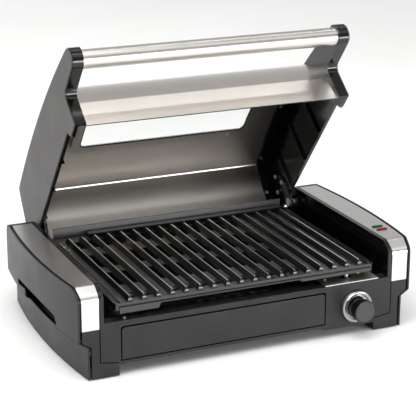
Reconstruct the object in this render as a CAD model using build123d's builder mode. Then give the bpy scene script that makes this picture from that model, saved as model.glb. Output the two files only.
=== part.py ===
from build123d import *
import os
from math import asin, atan2, cos, radians, sin, sqrt, tan

os.makedirs("parts", exist_ok=True)

# Frame: x to the right, y to the back, z up; the feet stand on z = 0 and y = 0 is the front face.

# General values
wall = 2.5                  # moulded plastic
sheet = 1                   # steel sheet
overrun = 5                 # how far a cut runs past the piece it cuts
seat_gap = 0.3              # between pieces that only rest on each other
seam_gap = 0.3              # shadow line between two mouldings
pin_radius = 3
bore_gap = 0.05             # radial, a pin or tube in its bore

# Body: width and length outside, and where the sides bow out most
body_width = 420
pod_length = 250
pod_top_z = 103.3
widest_y = 130
bow_radius = 850
widest_x = body_width / 2

# Side pods: trim, rim and walls
pod_top_width = 33.5        # outermost point to the trim's inner edge
rim_width = 5.3             # black rim inside the trim
bevel_y = 14.2              # the slanted front corner of a pod
bevel_drop = 9.5
bevel_edge_radius = 10
pod_rear_radius = 17
cover_wall = 2.2
seam_z = 44                 # between side cover and foot skirt
trim_low_z = 57.1
trim_rear_setback = 20
trim_lip = 2                # the cover's edge outside the groove
trim_edge_inset = 4.2
groove_depth = 2.4          # dark groove between that edge and the trim
bevel_z = pod_top_z - bevel_drop
trim_rear_y = pod_length - trim_rear_setback
trim_inner_x = widest_x - pod_top_width
cheek_x = trim_inner_x - rim_width

# Foot skirts
foot_z = 1.2                # underside of the mouldings, above the pads
skirt_inset = 10
flare_low_z = 37.5
foot_width = 21.8           # from the trim's inner edge inwards
foot_depth = 34
foot_block_height = 12.2
toe_inner_z = 15
toe_outer_z = 18.2
pad_radius = 9
pad_recess = 2
pad_inset = 17              # pad centre from the ends and the inner side of a foot
foot_inner_x = trim_inner_x - foot_width

# Hand slot: an arched opening across the seam, with a narrow tail at its rear
slot_front_y = 50
slot_front_slant = 8
slot_low_z = 40.5
slot_front_z = 56
slot_crown_z = 58.5
slot_rear_z = 55
slot_tail_z = 48.5
slot_neck_z = 52.5
slot_neck_slant = 4
slot_neck_setback = 98
slot_rear_setback = 64
slot_neck_y = pod_length - slot_neck_setback
slot_rear_y = pod_length - slot_rear_setback

# Front panel, tray opening and tub
panel_gap = 1               # shadow gap round the front panel
strip_low_z = 13.6          # underside of the tub and of the strip below the tray
knob_low_z = 10.7
knob_zone_width = 62.7      # from the foot to the left end of the lower strip
knob_zone_slant = 8
knob_zone_depth = 30
flange_depth = 14
tray_left_margin = 3.3      # tray front to the left foot
tray_right_margin = 63.4    # tray front to the right foot
tray_low_z = 18.2
tray_high_z = 54.6
tray_corner_radius = 3.5
tray_gap = 1.2
tray_finger_gap = 2
tub_floor = 2
tub_rear_setback = 14
tub_wall_top_z = 59.3
tray_rear_setback = 31
tray_wall = 1.6
tray_rim = 2
tray_side_room = 3.4        # between the tray's front corners and the pan behind
tray_pan_top_z = 48
tray_pan_radius = 8
rail_width = 6
rail_inset = 9
rail_front_y = 10
tub_vent_length = 34
tub_vent_width = 3
tub_vent_pitch = 9
tub_vent_count = 12
tub_vent_y = 120
tray_left_x = tray_left_margin - foot_inner_x
tray_right_x = foot_inner_x - tray_right_margin
knob_zone_x = foot_inner_x - knob_zone_width
tub_rear_y = pod_length - tub_rear_setback
tray_rear_y = tub_rear_y - tray_rear_setback
tub_floor_z = strip_low_z + tub_floor
liner_top_z = tub_wall_top_z + sheet
panel_top_z = liner_top_z + wall
panel_edge_x = trim_inner_x - panel_gap

# Rear housing
housing_reach = 13          # behind the pods
housing_knee_z = 48
housing_top_setback = 9
housing_top_z = 76
louvre_length = 20
louvre_width = 2.4
louvre_pitch = 7
louvre_count = 14
louvre_x = -80
gland_inset = 51.2          # from the cheek
gland_z = 32
gland_neck_radius = 6
gland_flange_radius = 9.5
gland_flange = 3
gland_bore_radius = 3.6
housing_rear_y = pod_length + housing_reach
housing_top_y = pod_length - housing_top_setback
gland_x = cheek_x - gland_inset

# Grill plate
plate_side_gap = 14.6       # plate edge to the inner wall
plate_front_y = 6.7
plate_rear_setback = 23.2
plate_top_z = 80
plate_thickness = 4
plate_corner_radius = 5
skirt_thickness = 3
side_skirt_drop = 4
skirt_left_drop = 6.9
skirt_mid_drop = 1.2
skirt_right_drop = 3.7
skirt_left_length = 49.6    # deep left part of the front skirt
skirt_right_length = 93.6
skirt_slant = 2
ridge_count = 18
ridge_margin = 18.05        # outermost ridge to the plate's edge
ridge_height = 6.2
ridge_base_width = 6.4
ridge_crest_width = 1.1
ridge_front_y = 8
ridge_rear_inset = 14.8
ridge_end_radius = 4.5
side_rim_inset = 7.1
side_rim_width = 3
side_rim_height = 2.2
side_rim_rear_inset = 21.8
rear_rim_left_inset = 46.6
rear_rim_right_inset = 9.6
rear_rim_depth = 9.8
rear_rim_height = 5
rear_rim_radius = 2
slot_land = 0.35            # between a ridge's foot and the slots beside it
slot_span_shares = [(0.051, 0.115), (0.231, 0.416), (0.502, 0.692), (0.799, 0.915)]
slotted_channels = [0, 1, 3, 4, 5, 6, 7, 8, 9, 10, 11, 12]
half_slotted_channel = 2    # this one keeps only its rearmost slot
leg_radius = 4
leg_inset = 6.6
leg_front_y = 42
leg_rear_inset = 10.8
plate_rear_y = pod_length - plate_rear_setback
plate_half_width = cheek_x - plate_side_gap
plate_low_z = plate_top_z - plate_thickness
crest_z = plate_top_z + ridge_height
side_skirt_z = plate_low_z - side_skirt_drop
skirt_mid_z = plate_low_z - skirt_mid_drop
skirt_left_x = skirt_left_length - plate_half_width
skirt_right_x = plate_half_width - skirt_right_length
ridge_pitch = (plate_half_width - ridge_margin) * 2 / (ridge_count - 1)
slot_width = ridge_pitch - ridge_base_width - slot_land * 2
leg_x = plate_half_width - leg_inset

# Liner, guard and heating element
drip_side_inset = 8.4       # drip opening inside the tray's ends
drip_front_y = 28
drip_rear_inset = 30
drip_lip = 6
guard_setback = 4
guard_side_gap = 21.2
guard_rise = 11             # over the plate
guard_foot = 5
guard_hem = 3
element_radius = 3.2
element_drop = 7.8          # middle of the tube under the plate
element_side_inset = 36.6
element_inner_share = 1 / 3
element_bend_share = 0.3
element_front_y = 40
element_rear_inset = 20
element_turn_inset = 22
element_drop_radius = 9
element_end_drop = 15.3
element_end_radius = 5
element_end_length = 7
bar_thickness = 2
bar_side_gap = 15.2
bar_places_y = (80, 160)
drip_left_x = tray_left_x + drip_side_inset
drip_right_x = tray_right_x - drip_side_inset
drip_rear_y = tub_rear_y - drip_rear_inset
guard_y = tub_rear_y - guard_setback
guard_half_width = cheek_x - guard_side_gap
guard_top_z = plate_top_z + guard_rise
element_z = plate_low_z - element_drop
element_low_z = tub_wall_top_z - element_end_drop
element_outer_x = plate_half_width - element_side_inset
element_inner_x = element_outer_x * element_inner_share
element_bend_radius = (element_outer_x - element_inner_x) * element_bend_share
element_rear_y = tub_rear_y - element_rear_inset
element_turn_y = element_rear_y - element_turn_inset
bar_half_length = cheek_x - bar_side_gap

# Knob, heat probe and thermostat
knob_inset = 24.2           # from the foot's inner side
knob_z = 35
knob_radius = 13.4
knob_reach = 23.5           # front of the knob before the panel
knob_back_gap = 2.4
knob_edge_radius = 1.2
knob_cap_rim = 1.3
knob_cap_depth = 1.6
knob_cap_recess = 0.3
knob_ring_radius = 14.6
knob_ring_length = 3
bezel_inner_radius = 15.2
bezel_outer_radius = 19.8
bezel_front_radius = 18.4
bezel_edge_radius = 2.2
bezel_depth = 6.2
bezel_edge = 1.4
shaft_hole_radius = 5
shaft_front_y = -17
shaft_rear_y = 20
thermostat_width = 34
thermostat_height = 28
thermostat_depth = 26
thermostat_plate = 1.5
thermostat_plate_margin = 3
bracket_half_width = 34
bracket_front_y = 1
bracket_rear_y = 31
probe_inset = 28.7
probe_y = 15.7
probe_radius = 2.3
probe_bore_gap = 0.08
probe_travel = 2
sleeve_radius = 5
sleeve_gap = 0.4
bush_radius = 5.3
bush_height = 2
bush_neck_radius = 3.6
rivet_offsets = [(19.3, 24.7), (-25.8, 20.1)]
rivet_radius = 1.6
rivet_head_radius = 2.8
rivet_head = 1.2
fuse_radius = 3
fuse_length = 22
fuse_offset = 20.5
fuse_y = 110
terminal_size = (30, 14, 12)
terminal_offset = 2
terminal_rear_gap = 46
knob_x = foot_inner_x - knob_inset
probe_x = foot_inner_x - probe_inset
sleeve_low_z = knob_z + thermostat_height / 2 + sleeve_gap
probe_low_z = sleeve_low_z + wall + probe_travel + sleeve_gap
rivet_places = [(probe_x + offset_x, y) for offset_x, y in rivet_offsets]
fuse_x = knob_x - fuse_offset
terminal_x = gland_x - terminal_offset
terminal_y = tub_rear_y - terminal_rear_gap

# Lamps
lamp_length = 13.8
lamp_width = 5.2
lamp_inset = 12.5           # from the trim's inner edge
lamp_ys = {"green_lens": 57.3, "red_lens": 46.4}
lamp_proud = 1.1
lamp_edge_radius = 0.9
lamp_gap = 0.2
lamp_holder_size = (18, 24, 9)
lamp_x = trim_inner_x + lamp_inset

# Lid: u runs forwards from the hinge along the closed lid, v up from the hinge
lid_open_angle = 51.4
hinge_setback = 23.7
hinge_drop = 16.1           # under the top of the pods
hinge_boss_radius = 8
hinge_boss_length = 3.6
lid_side_gap = 4.3          # inner wall to the outside of the lid
lid_cover = 2
lid_plate = 3
lid_end_depth = 13.9
lip_closed_y = 14.3
lip_closed_gap = 0.7        # closed lip above the ridges
lip_setback = 2.2
lid_edge_v = 10.1
lid_foot_length = 22
lid_foot_slope = 6
nose_under_v = 41.7
nose_reach = 54.3
nose_height = 24
nose_radius = 11.5
waist_radius = 8
side_crown_u = 42.3
side_crown_v = 89.75
side_crown_radius = 1064
side_rear_top_u = 25.4
side_rear_low_u = 51.7
side_rear_radius = 8
side_low_radius = 4
side_cover_inset = 0.8
hood_rake = 2.8             # the lip stands this far before the bend
hood_bend_height = 32
hood_bend_radius = 8
hood_cheek_drop = 18.6      # how far under the shoulder the front's middle point lies
hood_cheek_run = 17.3
hood_shoulder_run = 31.2
hood_shoulder_radius = 15
hood_crown_u = 90
hood_crown_v = 85.4
hood_crown_radius = 560
hood_fold_u = 18.2
hood_fold_radius = 5
hood_foot_u = 34
hood_foot_v = 14
hood_hem_radius = 1.3
ledge_width = 7
ledge_thickness = 2.5
ledge_front_gap = 10        # ledge's front end behind the shoulder
tube_radius = 10.5
tube_wall = 1.2
tube_reach = 42.3
tube_v = 54
tube_socket = 6
window_side_band = 45       # lid end to the window
window_rear_u = 56
window_front_gap = 30
window_corner_radius = 8
window_frame_width = 10
window_frame_thickness = 1.2
glass_margin = 4
glass_thickness = 3
seal_width = 1.4
frame_screw_inset = 20
screw_head_radius = 2.2
screw_head = 1
ledge_screw_rear_u = -4
ledge_screw_middle_u = 92
ledge_screw_front_gap = 28
rear_screw_v = 35
arm_thickness = 2.2
arm_end_radius = 9
arm_outline_us = (-6, 9, 9, -9, -24, -20)
arm_outline_vs = (53, 30, 0, 0, 21, 38)
arm_rivets = [(-7.5, 44.4), (2.1, 28.9), (-17, 27)]
pin_head_radius = 5
pin_head = 1.3
frame_rib_us = (20, 75, 130)
frame_rib_thickness = 1.6
gusset_count = 9
gusset_pitch = 17
gusset_rear_u = 1
gusset_height = 8
gusset_gap = 3
hinge_y = pod_length - hinge_setback
hinge_z = pod_top_z - hinge_drop
lid_outer_x = cheek_x - lid_side_gap
lid_cover_x = lid_outer_x - lid_cover
lid_plate_x = lid_cover_x - lid_plate
lid_inner_x = lid_outer_x - lid_end_depth
lip_u = hinge_y - lip_closed_y
lip_v = crest_z + lip_closed_gap - hinge_z
front_u = lip_u + lip_setback
foot_back_u = front_u - lid_foot_length
hood_bend_u = lip_u - hood_rake
hood_bend_v = lip_v + hood_bend_height
hood_shoulder_u = hood_bend_u - hood_shoulder_run
hood_inner_x = lid_inner_x - bore_gap
ledge_front_u = hood_shoulder_u - ledge_front_gap
tube_u = front_u + tube_reach
window_half_width = lid_inner_x - window_side_band
window_front_u = hood_shoulder_u - window_front_gap

# Fasteners under the body
case_screw_radius = 3.4
case_screw_head = 1.2
case_screw_left_inset = 21.2
case_screw_right_insets = (63.2, 11.2)
case_screw_front_y = 60
case_screw_rear_gap = 31
flange_screw_inset = 25.2
flange_screw_y = 7.5
guard_screw_inset = 18


def write_piece(piece, name):
    """Label a finished piece and write its file."""
    piece.part.label = name
    export_step(piece.part, f"parts/{name}.step")


def write_pair(piece, name):
    """Write a right-hand piece and its mirror image on the left."""
    write_piece(piece, f"right_{name}")
    with BuildPart() as left_piece:
        mirror(piece.part, about=Plane.YZ)
    write_piece(left_piece, f"left_{name}")


def near(builder, *places):
    """The corners of a sketch that lie nearest to the given places."""
    return [builder.vertices().sort_by_distance(place)[0] for place in places]


def bow_x(y, inset=0):
    """Half width of the bowed side at y: a circle of the bow radius, drawn in by the inset."""
    return widest_x - bow_radius + sqrt((bow_radius - inset) ** 2 - (y - widest_y) ** 2)


def pod_plan(low_z, inner_x, inset, front_y, rear_y):
    """Plan of a pod at one height: straight inside, bowed outside."""
    mid_y = (front_y + rear_y) / 2
    front_corner = (bow_x(front_y, inset), front_y)
    rear_corner = (bow_x(rear_y, inset), rear_y)
    with BuildSketch(Plane.XY.offset(low_z)) as plan:
        with BuildLine():
            Polyline(rear_corner, (inner_x, rear_y), (inner_x, front_y), front_corner)
            ThreePointArc(front_corner, (bow_x(mid_y, inset), mid_y), rear_corner)
        make_face()
    return plan.sketch


def pod_side(x=0, inset=0, low_z=0):
    """Side view of a pod: bevelled front corner, level top, round rear corner."""
    with BuildSketch(Plane.YZ.offset(x)) as side:
        with BuildLine():
            FilletPolyline(
                (0, low_z),
                (0, bevel_z),
                (bevel_y, pod_top_z),
                (pod_length, pod_top_z),
                (pod_length, low_z),
                radius=[0, bevel_edge_radius, bevel_edge_radius, pod_rear_radius, 0],
                close=True,
            )
        make_face()
        if inset:
            offset(amount=-inset)
    return side.sketch


def pod_block(low_z, high_z, inner_x, inset, side_inset, front_y, rear_y):
    """The solid inside both the plan and the side view of a pod."""
    with BuildPart() as block:
        extrude(pod_plan(low_z, inner_x, inset, front_y, rear_y), amount=high_z - low_z)
        view = pod_side(inset=side_inset, low_z=low_z - side_inset - overrun)
        extrude(view, amount=widest_x + overrun, mode=Mode.INTERSECT)
    return block.part


def box_between(x_span, y_span, z_span, mode=Mode.ADD):
    """A box given by its three spans."""
    spans = (x_span, y_span, z_span)
    middle = [(low + high) / 2 for low, high in spans]
    size = [high - low for low, high in spans]
    with Locations(tuple(middle)):
        Box(*size, mode=mode)


# Side covers: outer wall, top flange under the trim, front and rear walls
with BuildPart() as side_cover:
    beyond_y = pod_length + overrun
    add(pod_block(seam_z + seam_gap, pod_top_z, trim_inner_x, 0, 0, -overrun, beyond_y))
    hollow = pod_block(
        seam_z, pod_top_z, trim_inner_x - overrun, cover_wall, sheet + wall, -overrun, beyond_y
    )
    add(hollow, mode=Mode.SUBTRACT)
    with BuildPart() as trim_bed:
        bed_plan = pod_plan(seam_z, trim_inner_x - overrun, trim_lip, -overrun, trim_rear_y + seam_gap)
        extrude(bed_plan, amount=pod_top_z - seam_z + overrun)
        add(pod_block(seam_z - overrun, pod_top_z, 0, 0, sheet, -overrun, pod_length), mode=Mode.SUBTRACT)
    add(trim_bed.part, mode=Mode.SUBTRACT)
    with BuildPart() as trim_groove:
        extrude(bed_plan, amount=pod_top_z - seam_z + overrun)
        under_trim = pod_plan(seam_z, trim_inner_x - overrun, trim_edge_inset, -overrun, trim_rear_y)
        extrude(under_trim, amount=pod_top_z, mode=Mode.SUBTRACT)
        groove_bed = pod_block(seam_z - overrun, pod_top_z, 0, 0, groove_depth, -overrun, pod_length)
        add(groove_bed, mode=Mode.SUBTRACT)
    add(trim_groove.part, mode=Mode.SUBTRACT)
    tongue_room = (trim_inner_x - overrun, bow_x(0, trim_lip))
    box_between(tongue_room, (-overrun, sheet + wall), (seam_z - overrun, trim_low_z), mode=Mode.SUBTRACT)
    slot_front_top = (slot_front_y + slot_front_slant, slot_front_z)
    slot_crown = ((slot_front_top[0] + slot_rear_y) / 2, slot_crown_z)
    with BuildSketch(Plane.YZ.offset(bow_x(0, skirt_inset + cover_wall))) as hand_slot:
        with BuildLine():
            Polyline(
                (slot_rear_y, slot_rear_z),
                (slot_rear_y, slot_tail_z),
                (slot_neck_y + slot_neck_slant, slot_neck_z),
                (slot_neck_y, slot_low_z),
                (slot_front_y, slot_low_z),
                slot_front_top,
            )
            ThreePointArc(slot_front_top, slot_crown, (slot_rear_y, slot_rear_z))
        make_face()
    extrude(amount=widest_x, mode=Mode.SUBTRACT)
    with BuildSketch(Plane.XY.offset(pod_top_z)) as lamp_windows:
        with Locations(*[(lamp_x, y) for y in lamp_ys.values()]):
            SlotOverall(lamp_length + lamp_gap * 2, lamp_width + lamp_gap * 2)
    extrude(amount=-(sheet + wall) * 2, mode=Mode.SUBTRACT)
write_pair(side_cover, "side_cover")

# Trims: one sheet folded over the top and down the front
with BuildPart() as trim:
    add(pod_block(trim_low_z, pod_top_z, trim_inner_x, trim_edge_inset, 0, -overrun, trim_rear_y))
    inner_fold = pod_side(inset=sheet, low_z=trim_low_z - overrun * 2)
    extrude(inner_fold, amount=widest_x, mode=Mode.SUBTRACT)
with BuildPart() as left_trim:
    mirror(trim.part, about=Plane.YZ)
write_piece(left_trim, "left_trim")
with BuildPart() as right_trim:
    add(trim.part)
    with BuildSketch(Plane.XY.offset(pod_top_z)):
        with Locations(*[(lamp_x, y) for y in lamp_ys.values()]):
            SlotOverall(lamp_length + lamp_gap * 2, lamp_width + lamp_gap * 2)
    extrude(amount=-sheet * 2, mode=Mode.SUBTRACT)
write_piece(right_trim, "right_trim")

# Foot skirts: lower outer wall with its flare, front column behind a dark slit, feet and hand slot
with BuildPart() as foot_skirt:
    extrude(pod_plan(foot_z, trim_inner_x, skirt_inset, 0, pod_length), amount=flare_low_z - foot_z)
    loft(
        [
            pod_plan(flare_low_z, trim_inner_x, skirt_inset, 0, pod_length),
            pod_plan(seam_z, trim_inner_x, 0, 0, pod_length),
        ],
        ruled=True,
    )
    hollow_low = pod_plan(
        foot_z - overrun, trim_inner_x - overrun, skirt_inset + cover_wall, -overrun, pod_length - wall
    )
    extrude(hollow_low, amount=flare_low_z - foot_z + overrun, mode=Mode.SUBTRACT)
    loft(
        [
            pod_plan(flare_low_z, trim_inner_x - overrun, skirt_inset + cover_wall, -overrun, pod_length - wall),
            pod_plan(seam_z, trim_inner_x - overrun, cover_wall, -overrun, pod_length - wall),
        ],
        ruled=True,
        mode=Mode.SUBTRACT,
    )
    column_low_x = bow_x(0, skirt_inset + trim_edge_inset)
    column_high_x = bow_x(0, trim_edge_inset)
    with BuildSketch(Plane.XZ) as front_column:
        with BuildLine():
            Polyline(
                (trim_inner_x, foot_z),
                (column_low_x, foot_z),
                (column_low_x, flare_low_z),
                (column_high_x, seam_z),
                (column_high_x, trim_low_z - seam_gap),
                (trim_inner_x, trim_low_z - seam_gap),
                close=True,
            )
        make_face()
    extrude(amount=-wall)
    for front_y, rear_y in ((0, foot_depth), (pod_length - foot_depth, pod_length)):
        extrude(pod_plan(foot_z, foot_inner_x, skirt_inset, front_y, rear_y), amount=foot_block_height)
    corner_slit = (column_low_x, bow_x(0, skirt_inset + cover_wall))
    box_between(corner_slit, (-overrun, wall), (0, flare_low_z), mode=Mode.SUBTRACT)
    rear_wall_x = (cheek_x + seam_gap, trim_inner_x)
    box_between(rear_wall_x, (pod_length - wall, pod_length), (foot_z, seam_z))
    with BuildSketch(Plane.XZ) as toe:
        with BuildLine():
            Polyline(
                (foot_inner_x, foot_z),
                (foot_inner_x, toe_inner_z),
                (trim_inner_x, toe_outer_z),
                (trim_inner_x, foot_z),
                close=True,
            )
        make_face()
    extrude(amount=-wall)
    extrude(hand_slot.sketch, amount=widest_x, mode=Mode.SUBTRACT)
    pad_places = [(foot_inner_x + pad_inset, y) for y in (pad_inset, pod_length - pad_inset)]
    with BuildSketch(Plane.XY.offset(foot_z)):
        with Locations(*pad_places):
            Circle(pad_radius)
    extrude(amount=pad_recess, mode=Mode.SUBTRACT)
write_pair(foot_skirt, "foot_skirt")

# Rubber feet, four alike
with BuildPart() as rubber_feet:
    with BuildSketch():
        with Locations(*pad_places, *[(-x, y) for x, y in pad_places]):
            Circle(pad_radius)
    extrude(amount=foot_z + pad_recess)
write_piece(rubber_feet, "rubber_feet")

# Inner walls: black cheek with the rim beside the trim and the hinge boss
with BuildPart() as inner_wall:
    cheek_low_z = tub_wall_top_z - foot_block_height
    extrude(pod_side(cheek_x, low_z=cheek_low_z), amount=wall)
    with BuildPart() as rim_strip:
        extrude(pod_side(cheek_x, low_z=cheek_low_z), amount=rim_width - seam_gap)
        under_rim = pod_side(cheek_x, inset=wall, low_z=cheek_low_z - overrun)
        extrude(under_rim, amount=rim_width, mode=Mode.SUBTRACT)
    add(rim_strip.part)
    horn_room = (cheek_x - overrun, trim_inner_x)
    box_between(horn_room, (-overrun, wall), (cheek_low_z - overrun, bevel_z), mode=Mode.SUBTRACT)
    with BuildSketch(Plane.YZ.offset(cheek_x)):
        with Locations((hinge_y, hinge_z)):
            Circle(hinge_boss_radius)
    extrude(amount=-hinge_boss_length)
    with BuildSketch(Plane.YZ.offset(cheek_x - hinge_boss_length)):
        with Locations((hinge_y, hinge_z)):
            Circle(pin_radius)
    extrude(amount=hinge_boss_length + wall, mode=Mode.SUBTRACT)
write_pair(inner_wall, "inner_wall")

# Hinge pins: headed pins pressed into the bosses
pin_head_x = lid_plate_x - arm_thickness - bore_gap * 4
with BuildPart() as hinge_pins:
    with BuildSketch(Plane.YZ.offset(pin_head_x)):
        with Locations((hinge_y, hinge_z)):
            Circle(pin_radius)
    extrude(amount=cheek_x + wall - pin_head_x)
    with BuildSketch(Plane.YZ.offset(pin_head_x)):
        with Locations((hinge_y, hinge_z)):
            Circle(pin_head_radius)
    extrude(amount=-pin_head)
    mirror(about=Plane.YZ)
write_piece(hinge_pins, "hinge_pins")

# Front panel with its two horns, tray opening, knob hole and top flange
with BuildPart() as front_panel:
    with BuildSketch(Plane.XZ) as panel_face:
        with BuildLine():
            Polyline(
                (-panel_edge_x, toe_outer_z + panel_gap),
                (-foot_inner_x, toe_inner_z + panel_gap),
                (-foot_inner_x, strip_low_z),
                (knob_zone_x - knob_zone_slant, strip_low_z),
                (knob_zone_x, knob_low_z),
                (foot_inner_x - seam_gap, knob_low_z),
                (foot_inner_x - seam_gap, toe_inner_z + panel_gap),
                (panel_edge_x, toe_outer_z + panel_gap),
                (panel_edge_x, bevel_z - seam_gap),
                (cheek_x, bevel_z - seam_gap),
                (cheek_x, panel_top_z),
                (-cheek_x, panel_top_z),
                (-cheek_x, bevel_z - seam_gap),
                (-panel_edge_x, bevel_z - seam_gap),
                close=True,
            )
        make_face()
        with BuildSketch(mode=Mode.SUBTRACT) as tray_hole:
            hole_low_z = tray_low_z - tray_gap
            hole_high_z = tray_high_z + tray_finger_gap
            hole_middle = ((tray_left_x + tray_right_x) / 2, (hole_low_z + hole_high_z) / 2)
            with Locations(hole_middle):
                Rectangle(tray_right_x - tray_left_x + tray_gap * 2, hole_high_z - hole_low_z)
            fillet(tray_hole.vertices().group_by(Axis.Y)[-1], tray_corner_radius)
        with Locations((knob_x, knob_z)):
            Circle(shaft_hole_radius, mode=Mode.SUBTRACT)
    extrude(amount=-wall)
    box_between((-cheek_x, cheek_x), (0, flange_depth), (liner_top_z, panel_top_z))
    with Locations((probe_x, probe_y, panel_top_z)):
        Cylinder(sleeve_radius + seat_gap, wall * 4, mode=Mode.SUBTRACT)
    box_between(
        (knob_zone_x, foot_inner_x - seam_gap), (0, knob_zone_depth), (knob_low_z, strip_low_z)
    )
write_piece(front_panel, "front_panel")

# Base pan: the tub's floor, side walls, rear wall, tray rails and vents
with BuildPart() as base_pan:
    box_between((-cheek_x, cheek_x), (wall, tub_rear_y), (strip_low_z, tub_wall_top_z))
    inside_x = cheek_x - wall
    box_between(
        (-inside_x, inside_x), (0, tub_rear_y - wall), (tub_floor_z, tub_wall_top_z + overrun),
        mode=Mode.SUBTRACT,
    )
    for rail_x in (tray_left_x + rail_inset, tray_right_x - rail_inset):
        box_between(
            (rail_x - rail_width / 2, rail_x + rail_width / 2), (rail_front_y, tray_rear_y),
            (tub_floor_z, tray_low_z + tray_gap - seat_gap),
        )
    with BuildSketch(Plane.XY.offset(strip_low_z)):
        with GridLocations(tub_vent_pitch, tub_vent_y, tub_vent_count, 2):
            with Locations(((tray_left_x + tray_right_x) / 2, tub_vent_y)):
                SlotOverall(tub_vent_length, tub_vent_width, rotation=90)
    extrude(amount=tub_floor, mode=Mode.SUBTRACT)
    wire_hole = (terminal_x - terminal_size[0] / 2, terminal_x + terminal_size[0] / 2)
    box_between(
        wire_hole, (tub_rear_y - wall - overrun, tub_rear_y + overrun), (gland_z - overrun, gland_z + overrun),
        mode=Mode.SUBTRACT,
    )
write_piece(base_pan, "base_pan")

# Rear housing: a box with a slanted top, open towards the tub
with BuildPart() as rear_housing:
    with BuildSketch(Plane.YZ.offset(-cheek_x)) as housing_side:
        with BuildLine():
            Polyline(
                (tub_rear_y, strip_low_z),
                (housing_rear_y, strip_low_z),
                (housing_rear_y, housing_knee_z),
                (housing_top_y, housing_top_z),
                (tub_rear_y, housing_top_z),
                close=True,
            )
        make_face()
    extrude(amount=cheek_x * 2)
    fillet(rear_housing.edges().filter_by(Axis.X).group_by(Axis.Y)[-1], wall)
    with BuildPart() as housing_core:
        with BuildSketch(Plane.YZ.offset(wall - cheek_x)):
            add(housing_side.sketch_local)
            offset(amount=-wall, kind=Kind.INTERSECTION)
        extrude(amount=(cheek_x - wall) * 2)
        core_height = (strip_low_z + wall, housing_top_z - wall)
        box_between((wall - cheek_x, cheek_x - wall), (tub_rear_y - overrun, tub_rear_y + wall), core_height)
    add(housing_core.part, mode=Mode.SUBTRACT)
    with BuildSketch(Plane.XZ.offset(-housing_rear_y)):
        with Locations((louvre_x, (strip_low_z + housing_knee_z) / 2)):
            with GridLocations(louvre_pitch, 0, louvre_count, 1):
                SlotOverall(louvre_length, louvre_width, rotation=90)
        with Locations((gland_x, gland_z)):
            Circle(gland_neck_radius)
    extrude(amount=wall * 2, mode=Mode.SUBTRACT)
write_piece(rear_housing, "rear_housing")

# Cord gland: flanged bush in the rear wall
with BuildPart() as cord_gland:
    with BuildSketch(Plane.XZ.offset(-housing_rear_y)):
        with Locations((gland_x, gland_z)):
            Circle(gland_flange_radius)
    extrude(amount=-gland_flange)
    fillet(cord_gland.edges().group_by(Axis.Y)[-1], sheet)
    with BuildSketch(Plane.XZ.offset(-housing_rear_y)):
        with Locations((gland_x, gland_z)):
            Circle(gland_neck_radius - bore_gap)
    extrude(amount=wall * 2)
    with BuildSketch(Plane.XZ.offset(-housing_rear_y - gland_flange)):
        with Locations((gland_x, gland_z)):
            Circle(gland_bore_radius)
    extrude(amount=gland_flange + wall * 2, mode=Mode.SUBTRACT)
write_piece(cord_gland, "cord_gland")

# Liner: steel pan over the tub with the drip opening and its turned-down lips
with BuildPart() as liner:
    liner_edge_x = cheek_x - bore_gap
    box_between((-liner_edge_x, liner_edge_x), (wall, tub_rear_y - wall), (tub_wall_top_z, liner_top_z))
    opening_x = (drip_left_x, drip_right_x)
    opening_y = (drip_front_y, drip_rear_y)
    box_between(
        (drip_left_x - sheet, drip_right_x + sheet), (drip_front_y - sheet, drip_rear_y + sheet),
        (liner_top_z - drip_lip, liner_top_z),
    )
    box_between(
        opening_x, opening_y, (liner_top_z - drip_lip - overrun, liner_top_z + overrun), mode=Mode.SUBTRACT
    )
    with BuildSketch(Plane.XY.offset(liner_top_z)):
        with Locations((probe_x, probe_y)):
            Circle(sleeve_radius + seat_gap)
        with Locations((element_outer_x, element_rear_y), (-element_outer_x, element_rear_y)):
            Circle(element_radius + seat_gap)
    extrude(amount=-sheet, mode=Mode.SUBTRACT)
write_piece(liner, "liner")

# Rear guard: upright steel sheet behind the plate, hemmed at the top
with BuildPart() as rear_guard:
    guard_x = (-guard_half_width, guard_half_width)
    box_between(guard_x, (guard_y, guard_y + sheet), (liner_top_z, guard_top_z))
    box_between(guard_x, (guard_y - guard_foot, guard_y + sheet), (liner_top_z, liner_top_z + sheet))
    box_between(guard_x, (guard_y, guard_y + guard_hem), (guard_top_z - sheet, guard_top_z))
    fillet(rear_guard.edges().filter_by(Axis.X).sort_by(Axis.Z)[-2:], sheet / 4)
write_piece(rear_guard, "rear_guard")

# Heating element: one bent tube, carried by two bars on edge
with BuildPart() as heating_element:
    rear = element_rear_y
    turn = element_turn_y
    front = element_front_y
    with BuildLine() as element_path:
        FilletPolyline(
            (element_outer_x, rear, element_low_z),
            (element_outer_x, rear, element_z),
            (element_outer_x, front, element_z),
            (element_inner_x, front, element_z),
            (element_inner_x, turn, element_z),
            (-element_inner_x, turn, element_z),
            (-element_inner_x, front, element_z),
            (-element_outer_x, front, element_z),
            (-element_outer_x, rear, element_z),
            (-element_outer_x, rear, element_low_z),
            radius=[element_drop_radius] + [element_bend_radius] * 6 + [element_drop_radius],
        )
    with BuildSketch(Plane.XY.offset(element_low_z)):
        with Locations((element_outer_x, rear)):
            Circle(element_radius)
    sweep()
write_piece(heating_element, "heating_element")

with BuildPart() as element_ends:
    with BuildSketch(Plane.XY.offset(element_low_z)):
        with Locations((element_outer_x, element_rear_y), (-element_outer_x, element_rear_y)):
            Circle(element_end_radius)
    extrude(amount=-element_end_length)
write_piece(element_ends, "element_ends")

with BuildPart() as element_bars:
    for bar_y in bar_places_y:
        box_between(
            (-bar_half_length, bar_half_length), (bar_y - bar_thickness / 2, bar_y + bar_thickness / 2),
            (liner_top_z, element_z - element_radius),
        )
write_piece(element_bars, "element_bars")

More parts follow.
